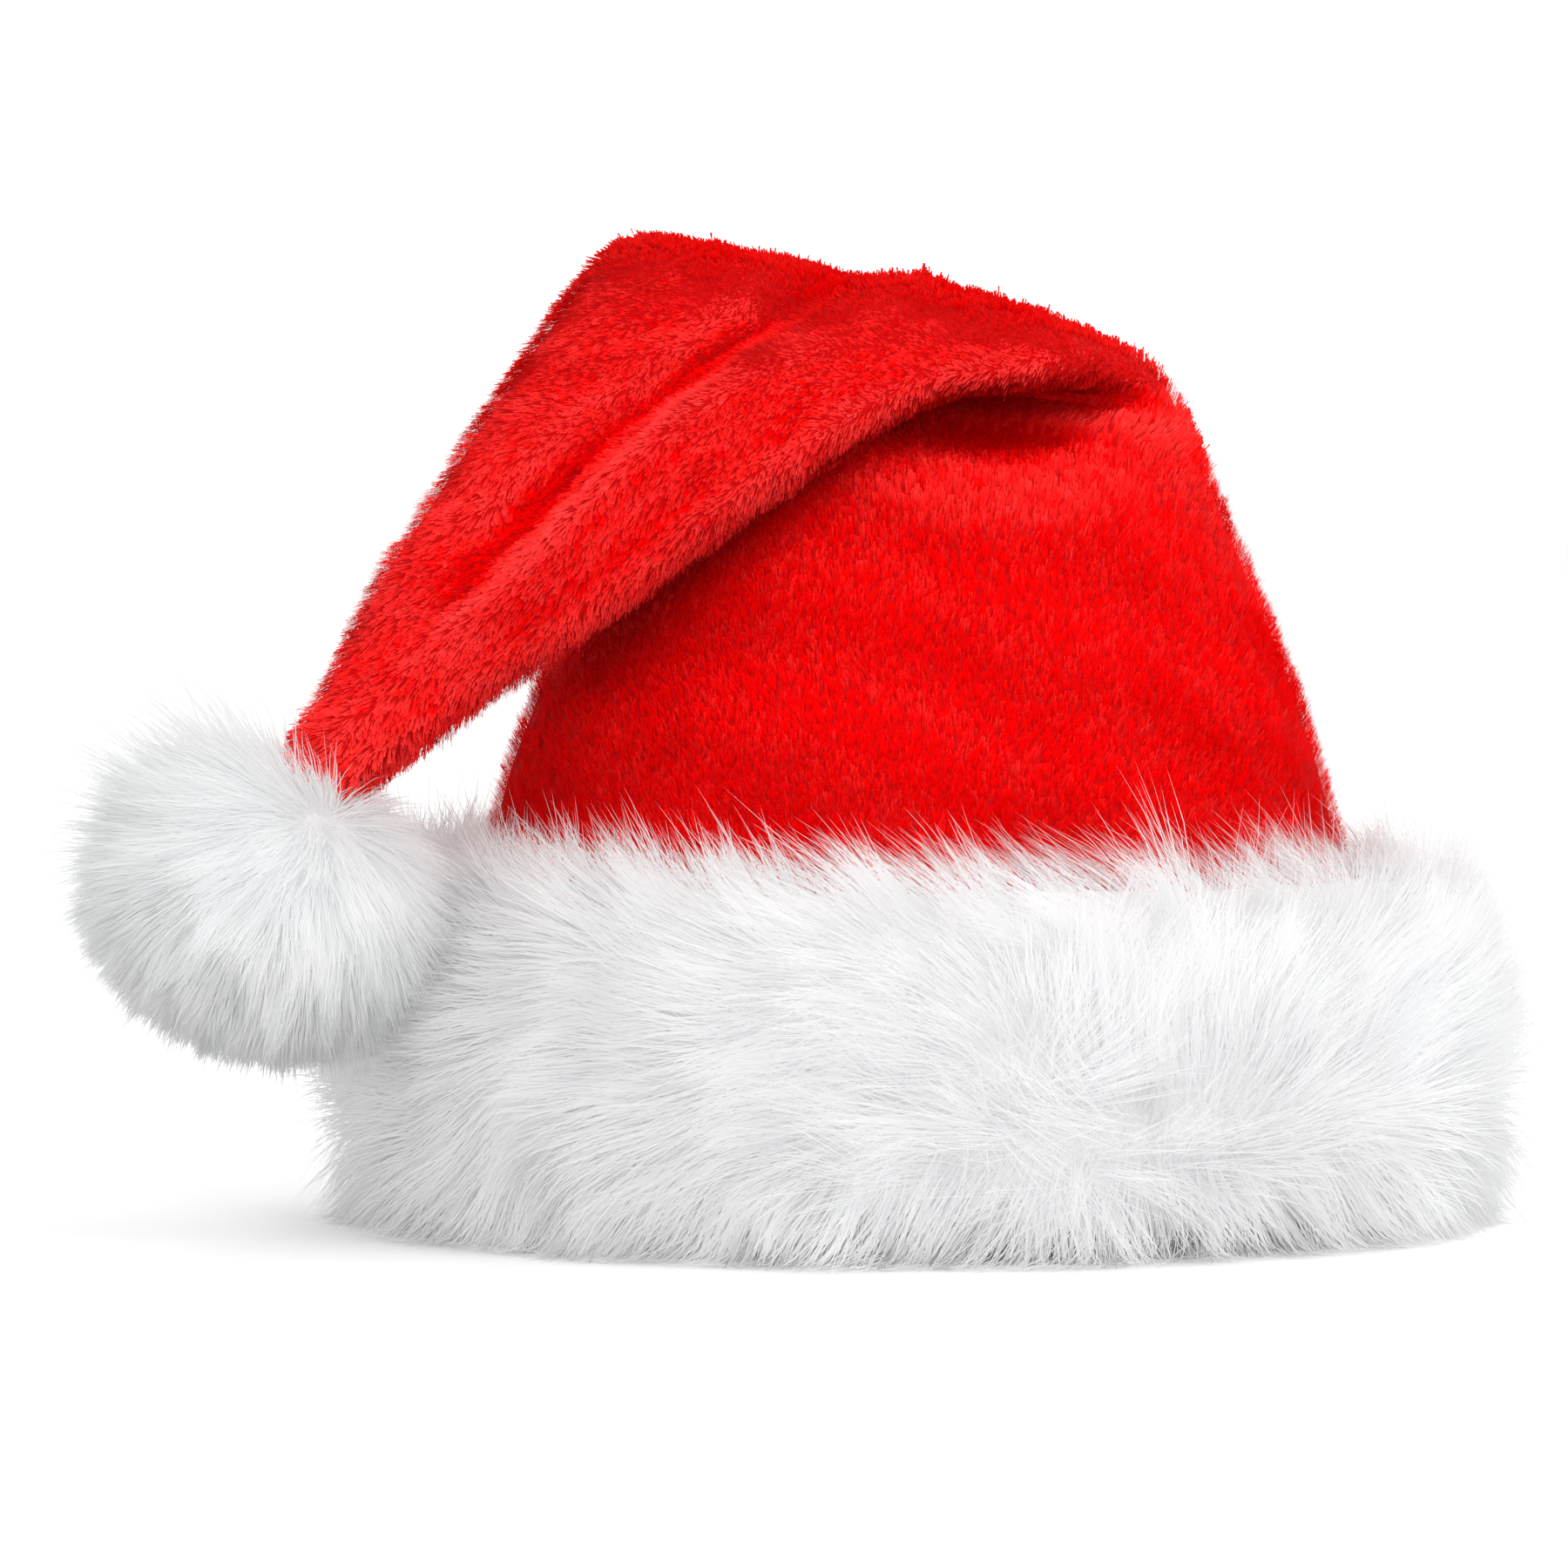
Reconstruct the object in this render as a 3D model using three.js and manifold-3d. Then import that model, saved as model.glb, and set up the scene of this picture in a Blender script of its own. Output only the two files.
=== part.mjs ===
// A plush cone hat with a deep fur band and a pompom, standing on its band with its tail folded over.
// Millimetres, +Z up. Seen from the front (looking along +Y), +X is to the right.
import * as THREE from "three";
import { mergeVertices } from "three/addons/utils/BufferGeometryUtils.js";
import Module from "manifold-3d";

const wasm = await Module();
wasm.setup();

// Driving sizes
const AROUND = 36; // facets round the crown and the band, shared so that their walls stay parallel
const CLOTH_WALL = 2.6; // plush cloth, backing and flattened pile together
const SEWN_GAP = 0.5; // between pieces that are sewn to each other
const HEAD_HALF_WIDTH = 98; // outside of the crown where the band holds it
const HEAD_HALF_DEPTH = 88;
const HEM_HEIGHT = 3; // the crown's hem above the surface that the band stands on
const BAND_HEIGHT = 86;

// Small vector helpers
const vec = (x, y, z) => new THREE.Vector3(x, y, z);
const rad = THREE.MathUtils.degToRad;
const bell = (distance, halfWidth) => Math.exp(-((distance / halfWidth) ** 2));
const table = (columns, rows) =>
  rows.map((row) => Object.fromEntries(columns.map((name, i) => [name, row[i]])));

// A repeatable spread of values from -1 to 1, so that no two locks are alike.
const scatter = (index, salt) => {
  const value = Math.sin(index * 12.9898 + salt * 78.233) * 43758.5453;
  return 2 * (value - Math.floor(value)) - 1;
};

// A closed skin over a run of rings that have equally many points. Each end is closed to its own apex.
function loft(rings, startApex = middle(rings[0]), endApex = middle(rings.at(-1))) {
  const sides = rings[0].length;
  const positions = [...rings.flat(), startApex, endApex].flatMap((p) => p.toArray());
  const start = rings.length * sides;
  const end = start + 1;
  const last = (rings.length - 1) * sides;
  const faces = [];
  for (let i = 0; i < sides; i++) {
    const j = (i + 1) % sides;
    for (let base = 0; base < last; base += sides) {
      faces.push(base + i, base + j, base + sides + j);
      faces.push(base + i, base + sides + j, base + sides + i);
    }
    faces.push(start, j, i);
    faces.push(end, last + i, last + j);
  }
  const geometry = new THREE.BufferGeometry();
  geometry.setAttribute("position", new THREE.Float32BufferAttribute(positions, 3));
  return geometry.setIndex(faces);
}

function middle(ring) {
  return ring.reduce((sum, p) => sum.add(p), vec(0, 0, 0)).divideScalar(ring.length);
}

// Solids for cutting and joining
function asSolid(geometry) {
  const bare = geometry.clone();
  bare.deleteAttribute("normal");
  bare.deleteAttribute("uv");
  const merged = mergeVertices(bare, 1e-3);
  return new wasm.Manifold(
    new wasm.Mesh({
      numProp: 3,
      vertProperties: merged.getAttribute("position").array,
      triVerts: new Uint32Array(merged.index.array),
    }),
  );
}

// The outer skin of a fused solid, without the closed pockets that crossing locks leave inside it.
function outerSkin(solid) {
  return solid.decompose().reduce((best, body) => (body.volume() > best.volume() ? body : best));
}

function asGeometry(solid) {
  const { vertProperties, triVerts } = outerSkin(solid).getMesh();
  const geometry = new THREE.BufferGeometry();
  geometry.setAttribute("position", new THREE.BufferAttribute(vertProperties, 3));
  geometry.setIndex(new THREE.BufferAttribute(triVerts, 1));
  geometry.computeVertexNormals();
  return geometry;
}

// The crown: sections of the cone from the hem to the tip. Each has its left and right edge, how far the
// cloth stands out in front of and behind the line between them, how far it has turned over the fold, in
// degrees, how boxy it is (1 is an ellipse), and the mesh steps to the next section.
const CROWN_SECTIONS = table(
  ["leftX", "leftY", "leftZ", "rightX", "rightY", "rightZ", "front", "back", "turn", "boxy", "steps"],
  [
    [-HEAD_HALF_WIDTH, 0, HEM_HEIGHT, HEAD_HALF_WIDTH, 0, HEM_HEIGHT, HEAD_HALF_DEPTH, HEAD_HALF_DEPTH, 0, 1, 1],
    [-97.6, 0, 45, 97.2, 0, 45, 87.6, 87.6, 0, 1, 1],
    [-97.4, 0, 84, 93, 0, 84, 86, 86, 0, 1, 2], // top of the band
    [-86, 3, 119, 83, 3, 119, 75, 75, 0, 0.97, 3],
    [-72, 7, 150, 70.5, 7, 150, 60, 59, 0, 0.93, 3],
    [-63.5, 10, 172, 63, 6, 168, 45, 43, 0, 0.88, 4],
    [-61, 13, 189.5, 58.5, -1, 177.5, 29, 29, 4, 0.82, 3], // throat of the fold
    [-62, 13, 203, 56, -2.5, 182, 14.5, 18, 20, 0.76, 3],
    [-64.5, 7, 212, 52.5, -5, 186, 8.5, 10.5, 55, 0.72, 3],
    [-67.5, -3, 215, 47.5, -9.5, 189, 7, 7.5, 90, 0.7, 3], // top of the fold
    [-71.5, -14, 213, 40, -16.5, 189.5, 7.5, 13, 130, 0.72, 3],
    [-78.5, -22.5, 206, 28.5, -24.5, 188, 9, 19, 165, 0.78, 3],
    [-89.5, -30, 191, 0, -32, 183.5, 9.5, 24, 176, 0.82, 3], // the tail
    [-99.5, -38, 175.5, -32, -46, 163.5, 10, 24, 180, 0.86, 2],
    [-109.6, -44, 160, -62, -46, 141.5, 10.5, 21, 180, 0.9, 2],
    [-120, -50, 144, -90, -51, 123.5, 10, 16, 180, 0.94, 2],
    [-129, -56, 125.5, -108, -57, 111, 8.5, 11, 180, 1, 2],
    [-136.5, -61, 112, -121, -61, 102, 7, 8.5, 180, 1, 2],
    [-138.5, -62, 103, -127, -62, 96.5, 5, 5.5, 180, 1, 1], // tip, inside the pompom
  ],
);
const SECTION_COLUMNS = Object.keys(CROWN_SECTIONS[0]).filter((name) => name !== "steps");
const TIP_ROW = CROWN_SECTIONS.length - 1;
const SOCKET_FROM_ROW = TIP_ROW - 2.4; // where the pompom's socket starts
const TAIL_REST_ROW = TIP_ROW - 5; // where the tail comes down to the band
const TAIL_REST_GAP = 2;

// Dents in the cloth. from and to are section numbers, fade is how many sections a dent takes to die away.
// acrossFrom and acrossTo say where its bottom lies at those ends, from -1 at the left edge to 1 at the right
// one. depth is a share of the room inside the section, negative for a swelling. side is 1 for the back cloth
// of the cone, which faces the front on the folded tail, and -1 for its front cloth.
const CLOTH_DENTS = table(
  ["side", "from", "to", "fade", "acrossFrom", "acrossTo", "halfWidth", "depth"],
  [
    [1, 9.2, 13.3, 1.2, -0.08, -0.24, 0.14, 0.72], // valley along the tail
    [1, 9.8, 13.2, 1.2, 0.08, -0.03, 0.14, -0.3], // ridge beside it
    [1, 10.2, 14, 1.1, -0.5, -0.55, 0.26, 0.28], // cloth behind the valley, which lies lower
    [1, 11.5, 14.5, 1.2, 0.62, 0.55, 0.16, 0.16], // soft groove below the ridge
    [-1, 5.6, 6.9, 0.55, 0.35, 0.4, 0.35, 0.52], // pocket under the fold
    [-1, 4.5, 4.7, 0.4, 0.4, 0.4, 0.42, -0.06], // lip of the pocket
    [-1, 6.2, 6.8, 0.5, -0.32, -0.32, 0.36, -0.09], // cloth pressed together in the crease
    [-1, 11.4, 12.4, 0.7, -0.1, -0.1, 0.4, -0.3], // and against it from the tail
    [-1, 3.9, 4.3, 0.8, 0.82, 0.78, 0.17, 0.12], // slack by the right edge
    [-1, 2.9, 3.2, 0.5, 0.66, 0.66, 0.18, 0.05], // dimple below it
    [1, 4, 5, 1.2, 0.1, 0.1, 0.35, 0.08], // slack at the back
  ],
);
const TIP_GATHERS = { count: 7, depth: 1.1, fromRow: TIP_ROW - 3.5 };
const FULL_LINING = [[4.9, 7], [10, 14.5]]; // sections with as many inner rings as outer ones, elsewhere half

const sectionAt = new THREE.CubicInterpolant(
  CROWN_SECTIONS.map((_, row) => row),
  CROWN_SECTIONS.flatMap((section) => SECTION_COLUMNS.map((name) => section[name])),
  SECTION_COLUMNS.length,
);

// One ring of the crown at a section number, brought in by inset from the outside of the cloth.
function crownRing(row, inset) {
  const values = sectionAt.evaluate(row);
  const s = Object.fromEntries(SECTION_COLUMNS.map((name, i) => [name, values[i]]));
  const left = vec(s.leftX, s.leftY, s.leftZ);
  const right = vec(s.rightX, s.rightY, s.rightZ);
  const centre = left.clone().lerp(right, 0.5);
  const halfWidth = left.distanceTo(right) / 2;
  const across = right.clone().sub(left).normalize();
  const level = vec(0, 1, 0).addScaledVector(across, -across.y).normalize();
  const upright = across.clone().cross(level);
  const behind = level.multiplyScalar(Math.cos(rad(s.turn))).addScaledVector(upright, Math.sin(rad(s.turn)));
  const gathered = THREE.MathUtils.smoothstep(row, TIP_GATHERS.fromRow, TIP_ROW) * TIP_GATHERS.depth;
  return Array.from({ length: AROUND }, (_, k) => {
    const angle = (2 * Math.PI * k) / AROUND;
    const sideways = Math.cos(angle);
    const side = Math.sign(Math.sin(angle));
    const outwards = side * Math.max(1 - Math.abs(sideways) ** (2 / s.boxy), 0) ** (s.boxy / 2);
    const pleat = gathered * Math.cos(TIP_GATHERS.count * angle);
    const depth = side > 0 ? s.back : s.front;
    const dent = (depth - CLOTH_WALL) * dentAt(row, sideways, side);
    return centre
      .clone()
      .addScaledVector(across, sideways * (halfWidth - inset + pleat))
      .addScaledVector(behind, outwards * (depth - inset + pleat - dent));
  });
}

function dentAt(row, across, side) {
  return CLOTH_DENTS.filter((dent) => dent.side === side).reduce((sum, dent) => {
    const share = THREE.MathUtils.clamp((row - dent.from) / (dent.to - dent.from), 0, 1);
    const bottom = THREE.MathUtils.lerp(dent.acrossFrom, dent.acrossTo, share);
    const beyond = Math.max(dent.from - row, row - dent.to, 0);
    return sum + dent.depth * bell(beyond, dent.fade) * bell(across - bottom, dent.halfWidth);
  }, 0);
}

function crownRows() {
  const rows = CROWN_SECTIONS.slice(0, -1).flatMap(({ steps }, row) =>
    Array.from({ length: steps }, (_, i) => row + i / steps),
  );
  return [...rows, TIP_ROW];
}

function crown() {
  const lined = (row, i) => i % 2 === 0 || FULL_LINING.some(([from, to]) => row > from && row < to);
  const inside = crownRows()
    .filter((row, i) => lined(row, i) && row < TIP_ROW - 0.6)
    .map((row) => crownRing(row, CLOTH_WALL));
  const outside = crownRows().map((row) => crownRing(row, 0));
  return loft([...inside.reverse(), ...outside]);
}

// A lock of fur: a flat three-sided blade that leaves its root and is combed over to a point.
function lock(root, outward, combed, { length, width, lift, sink }) {
  const sideways = outward.clone().cross(combed).normalize();
  const reach = (along, rise) =>
    root
      .clone()
      .addScaledVector(combed, along * length * Math.cos(lift))
      .addScaledVector(outward, rise * length * Math.sin(lift));
  const ring = (centre, half) => [
    centre.clone().addScaledVector(sideways, half).addScaledVector(outward, -half * 0.3),
    centre.clone().addScaledVector(outward, half * 0.5),
    centre.clone().addScaledVector(sideways, -half).addScaledVector(outward, -half * 0.3),
  ];
  const foot = root.clone().addScaledVector(outward, -sink);
  return loft([ring(foot, width * 0.35), ring(reach(0.42, 0.62), width * 0.5)], foot, reach(1, 1));
}

// The fur band: a backing ring round the crown, drawn as how far it stands out at each height.
const BAND_PROFILE = table(
  ["out", "height"],
  [
    [0, 0],
    [20, 0],
    [24, 8],
    [26.5, 25],
    [26.5, 46],
    [23.5, 65],
    [16, 78],
    [6, BAND_HEIGHT],
    [0, BAND_HEIGHT],
  ],
);
const BAND_LOCK = { length: 44, width: 18, lift: rad(12), sink: 6 };
// Rows of locks: where they root, how many go round, and how far up they are combed from level, in degrees.
const BAND_LOCK_ROWS = table(
  ["height", "count", "combUp"],
  [
    [11, 18, -15],
    [26, 18, -9],
    [41, 18, 0],
    [55, 18, 5],
    [67, 18, 10],
    [77, 18, 17],
  ],
);
const PARTING = { angle: -70, halfWidth: 22 }; // where the fur parts to both sides, in degrees round from +X
const FLOOR = { size: 500, depth: 60 };

const innerHalfWidth = HEAD_HALF_WIDTH + SEWN_GAP;
const innerHalfDepth = HEAD_HALF_DEPTH + SEWN_GAP;

function bandOutward(angle) {
  return vec(Math.cos(angle) / innerHalfWidth, Math.sin(angle) / innerHalfDepth, 0).normalize();
}

function bandPoint(angle, out, height) {
  const wall = vec(innerHalfWidth * Math.cos(angle), innerHalfDepth * Math.sin(angle), height);
  return wall.addScaledVector(bandOutward(angle), out);
}

function bandBacking() {
  const wall = BAND_PROFILE.map(({ out, height }) =>
    Array.from({ length: AROUND }, (_, k) => bandPoint((2 * Math.PI * k) / AROUND, out, height)),
  );
  const skin = [];
  wall.forEach((ring, row) => {
    const next = wall[(row + 1) % wall.length];
    ring.forEach((p, k) => {
      const j = (k + 1) % AROUND;
      skin.push(p, ring[j], next[j], p, next[j], next[k]);
    });
  });
  return new THREE.BufferGeometry().setFromPoints(skin);
}

function bandOutAt(height) {
  const above = BAND_PROFILE.findIndex((row, i) => i > 1 && row.height >= height);
  const [low, high] = [BAND_PROFILE[above - 1], BAND_PROFILE[above]];
  const share = (height - low.height) / (high.height - low.height);
  return THREE.MathUtils.lerp(low.out, high.out, share);
}

function bandLocks() {
  return BAND_LOCK_ROWS.flatMap(({ height, count, combUp }, row) =>
    Array.from({ length: count }, (_, k) => {
      const index = row * 40 + k;
      const angle = (2 * Math.PI * (k + 0.5 * (row % 2) + 0.22 * scatter(index, 1))) / count;
      const outward = bandOutward(angle);
      const aside = Math.sin(angle - rad(PARTING.angle)) / Math.sin(rad(PARTING.halfWidth));
      const level = THREE.MathUtils.clamp(aside, -1, 1);
      const up = rad(combUp + 10 * scatter(index, 2));
      const rise = Math.sin(up) + Math.sign(combUp + 1) * Math.sqrt(1 - level ** 2);
      const combed = vec(-outward.y * level, outward.x * level, rise).normalize();
      const size = 1 + 0.14 * scatter(index, 3) - 0.5 * Math.max(combed.z, 0);
      const root = bandPoint(angle, bandOutAt(height), height);
      return lock(root, outward, combed, { ...BAND_LOCK, length: BAND_LOCK.length * size });
    }),
  );
}

// The pompom: a head with locks that fall away from the tip of the crown. It leans on the band.
const POMPOM_CENTRE = vec(-144, -66, 76.5);
const POMPOM_RADII = vec(42, 40, 38);
const POMPOM_HEAD = 0.76; // head's share of the whole radius
const POMPOM_REST_GAP = 1.4; // between the ball and the hollow that it presses into the band
const POMPOM_LOCKS = 54;
const POMPOM_LOCK = { length: 19, width: 15, lift: rad(17), sink: 5 };
const POMPOM_LOCK_END_LIFT = rad(62); // opposite the tip, where the locks stand out
const GOLDEN_ANGLE = Math.PI * (3 - Math.sqrt(5));

function ball(radii, detail) {
  const geometry = new THREE.IcosahedronGeometry(1, detail);
  return geometry.scale(radii.x, radii.y, radii.z).translate(...POMPOM_CENTRE.toArray());
}

function pompomLocks() {
  const sewnAt = middle(crownRing(TIP_ROW - 1, 0)).sub(POMPOM_CENTRE).normalize();
  return Array.from({ length: POMPOM_LOCKS }, (_, k) => {
    const height = 1 - (2 * k + 1) / POMPOM_LOCKS;
    const girth = Math.sqrt(1 - height ** 2);
    const outward = vec(girth * Math.cos(k * GOLDEN_ANGLE), girth * Math.sin(k * GOLDEN_ANGLE), height);
    const falling = outward.clone().multiplyScalar(outward.dot(sewnAt)).sub(sewnAt).normalize();
    const root = outward.clone().multiply(POMPOM_RADII).multiplyScalar(POMPOM_HEAD).add(POMPOM_CENTRE);
    const farEnd = THREE.MathUtils.smoothstep(-outward.dot(sewnAt), 0.3, 1);
    const lift = THREE.MathUtils.lerp(POMPOM_LOCK.lift, POMPOM_LOCK_END_LIFT, farEnd);
    const length = POMPOM_LOCK.length * (1 - 0.4 * farEnd + 0.08 * scatter(k, 4));
    return lock(root, outward, falling, { ...POMPOM_LOCK, lift, length });
  });
}

// The tail from a section number to the tip, grown by a clearance, for cutting room in the fur.
function tailRoom(fromRow, clearance) {
  const rings = crownRows()
    .filter((row) => row > fromRow)
    .map((row) => crownRing(row, -clearance));
  const end = middle(rings.at(-1));
  const way = end.clone().sub(middle(rings.at(-2))).normalize();
  return asSolid(loft(rings, middle(rings[0]), end.addScaledVector(way, clearance)));
}

function fused(core, locks) {
  return locks.reduce((solid, geometry) => solid.add(asSolid(geometry)), asSolid(core));
}

function pompom() {
  const head = ball(POMPOM_RADII.clone().multiplyScalar(POMPOM_HEAD), 3);
  return asGeometry(fused(head, pompomLocks()).subtract(tailRoom(SOCKET_FROM_ROW, SEWN_GAP)));
}

function furBand() {
  const below = new THREE.BoxGeometry(FLOOR.size, FLOOR.size, FLOOR.depth).translate(0, 0, -FLOOR.depth / 2);
  const pressed = ball(POMPOM_RADII.clone().addScalar(POMPOM_REST_GAP), 4);
  return asGeometry(
    fused(bandBacking(), bandLocks())
      .subtract(asSolid(below))
      .subtract(asSolid(pressed))
      .subtract(tailRoom(TAIL_REST_ROW, TAIL_REST_GAP)),
  );
}

// Finishes
const redPlush = new THREE.MeshStandardMaterial({ color: 0xd80a12, roughness: 0.85, metalness: 0 });
const whiteFur = new THREE.MeshStandardMaterial({ color: 0xf2f1ef, roughness: 0.95, metalness: 0 });

// Assembly, with the origin on the floor under the middle of the whole hat
const hat = new THREE.Group();
function piece(name, geometry, material) {
  const mesh = new THREE.Mesh(geometry, material);
  mesh.name = name;
  hat.add(mesh);
}
piece("crown", crown(), redPlush);
piece("fur_band", furBand(), whiteFur);
piece("pompom", pompom(), whiteFur);

const box = new THREE.Box3().setFromObject(hat, true);
const centre = box.getCenter(vec(0, 0, 0));
const toOrigin = vec(-centre.x, -centre.y, -box.min.z);
hat.children.forEach((mesh) => mesh.position.copy(toOrigin));

export default hat;
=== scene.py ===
import math
from collections import deque

import bpy
import numpy as np
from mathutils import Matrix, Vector
from mathutils.bvhtree import BVHTree
from mathutils.kdtree import KDTree


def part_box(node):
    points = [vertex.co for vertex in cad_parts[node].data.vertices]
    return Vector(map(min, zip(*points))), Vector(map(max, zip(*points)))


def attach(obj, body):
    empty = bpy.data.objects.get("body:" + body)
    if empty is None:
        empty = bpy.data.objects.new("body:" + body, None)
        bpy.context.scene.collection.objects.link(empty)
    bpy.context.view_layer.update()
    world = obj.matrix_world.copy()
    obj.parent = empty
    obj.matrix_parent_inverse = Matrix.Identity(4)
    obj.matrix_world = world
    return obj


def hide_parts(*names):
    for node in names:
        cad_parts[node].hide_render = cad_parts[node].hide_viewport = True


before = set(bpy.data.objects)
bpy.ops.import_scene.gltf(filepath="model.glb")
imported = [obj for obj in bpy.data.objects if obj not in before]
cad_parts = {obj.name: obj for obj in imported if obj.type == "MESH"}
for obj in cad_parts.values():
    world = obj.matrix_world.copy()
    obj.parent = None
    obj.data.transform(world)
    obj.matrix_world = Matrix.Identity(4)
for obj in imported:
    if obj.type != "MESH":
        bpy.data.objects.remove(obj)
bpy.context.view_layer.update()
bpy.ops.object.select_all(action="DESELECT")
dice = np.random.default_rng(24)  # one seeded source for every strand

crownLow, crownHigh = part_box("crown")
headHalfWidth = 0.098  # the head opening's half axes, as in the CAD
headHalfDepth = 0.088
headX = crownHigh.x - headHalfWidth
headY = crownHigh.y - headHalfDepth


# small helpers for modelling by operators

def pickOnly(obj):
    bpy.ops.object.select_all(action="DESELECT")
    obj.select_set(True)
    bpy.context.view_layer.objects.active = obj


def copyNode(node, name):
    obj = bpy.data.objects.new(name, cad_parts[node].data.copy())
    obj.data.name = name
    bpy.context.scene.collection.objects.link(obj)
    obj.data.materials.clear()
    pickOnly(obj)
    bpy.ops.object.mode_set(mode="EDIT")
    bpy.ops.mesh.select_all(action="SELECT")
    bpy.ops.mesh.remove_doubles(threshold=0.00002)
    bpy.ops.mesh.customdata_custom_splitnormals_clear()
    bpy.ops.object.mode_set(mode="OBJECT")
    return obj


def applyModifier(obj, kind, **values):
    pickOnly(obj)
    modifier = obj.modifiers.new(kind.lower(), kind)
    for key, value in values.items():
        setattr(modifier, key, value)
    bpy.ops.object.modifier_apply(modifier=modifier.name)


def vertexArray(mesh):
    places = np.empty(len(mesh.vertices) * 3, np.float32)
    mesh.vertices.foreach_get("co", places)
    return places.reshape(-1, 3).astype(float)


def unit(vectors):
    return vectors / np.maximum(np.linalg.norm(vectors, axis=-1, keepdims=True), 1e-9)


def smoothstep(low, high, x):
    t = np.clip((x - low) / (high - low), 0, 1)
    return t * t * (3 - 2 * t)


def drift(places, size, seed):  # smooth wandering values, one vector for each place, within about -1 to 1
    waves = np.random.default_rng(seed)
    total = np.zeros((len(places), 3))
    for wave in range(7):
        along = unit(waves.normal(size=3)) * 2 * math.pi / (size * waves.uniform(0.6, 1.6))
        total += np.sin(places @ along + waves.uniform(0, 2 * math.pi))[:, None] * waves.normal(size=3)
    return total / 3.2


# fur and pile are narrow tapered ribbons, many to a mesh

def spreadRoots(mesh, count, extra=None):
    mesh.calc_loop_triangles()
    corners = np.empty(len(mesh.loop_triangles) * 3, np.int32)
    mesh.loop_triangles.foreach_get("vertices", corners)
    corners = corners.reshape(-1, 3)
    places = vertexArray(mesh)
    normals = np.empty(len(mesh.vertices) * 3, np.float32)
    mesh.vertices.foreach_get("normal", normals)
    normals = normals.reshape(-1, 3).astype(float)
    a, b, c = (places[corners[:, i]] for i in range(3))
    areas = np.linalg.norm(np.cross(b - a, c - a), axis=1) / 2
    upTo = np.cumsum(areas) / areas.sum()
    chosen = np.searchsorted(upTo, (np.arange(count) + dice.random(count)) / count).clip(0, len(areas) - 1)
    u = np.sqrt(dice.random(count))
    v = dice.random(count)
    weights = np.stack([1 - u, u * (1 - v), u * v], 1)[:, :, None]
    picked = corners[chosen]
    found = {
        "place": (places[picked] * weights).sum(1),
        "normal": unit((normals[picked] * weights).sum(1)),
    }
    for key, values in (extra or {}).items():
        found[key] = (values[picked] * weights).sum(1)
    return found


def thinRoots(roots, mask, most):  # the roots under the mask, or as many of them as are wanted
    chosen = np.flatnonzero(mask)
    if len(chosen) > most:
        chosen = np.sort(dice.choice(chosen, most, replace=False))
    return {key: values[chosen] for key, values in roots.items()}


def curveStrands(roots, flow, length, liftRoot, liftTip, joints, sag=0.0):  # lifts are degrees off the cloth
    normal = roots["normal"]
    into = np.minimum((flow * normal).sum(1), 0)[:, None]
    flow = unit(flow - normal * into)  # never combed into the cloth
    low, high = np.radians(liftRoot)[:, None], np.radians(liftTip)[:, None]
    first = unit(flow * np.cos(low) + normal * np.sin(low))
    last = unit(flow * np.cos(high) + normal * np.sin(high) - np.array([0, 0, sag]))
    t = np.linspace(0, 1, joints + 1)[None, :, None]
    bend = first[:, None] * (t - t * t / 2) + last[:, None] * (t * t / 2)
    return roots["place"][:, None] - normal[:, None] * 0.0006 + bend * length[:, None, None]


def gatherTips(paths, share, pull, power=1.4):  # strands lean to their neighbours' tips, as tufts and locks
    count = len(paths)
    leaders = dice.choice(count, max(1, int(count * share)), replace=False)
    tree = KDTree(len(leaders))
    for i, leader in enumerate(leaders):
        tree.insert(paths[leader, 0], i)
    tree.balance()
    mine = np.array([leaders[tree.find(root)[1]] for root in paths[:, 0]])
    t = np.linspace(0, 1, paths.shape[1])[None, :, None] ** power
    lean = unit(paths[:, -1] - paths[:, 0])
    agree = (lean * lean[mine]).sum(1).clip(0, 1)  # strands combed apart don't share a lock
    strength = (pull * agree * dice.uniform(0.4, 1.0, count))[:, None, None]
    offset = paths[mine] - paths[mine][:, :1] + (paths[mine][:, :1] - paths[:, :1]) * t + paths[:, :1]
    return paths + (offset - paths) * strength * t, mine


def frizz(paths, length, amount):  # each strand bends its own way towards its tip
    bend = dice.normal(size=(len(paths), 1, 3)) * length[:, None, None] * amount
    return paths + bend * np.linspace(0, 1, paths.shape[1])[None, :, None] ** 2


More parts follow.
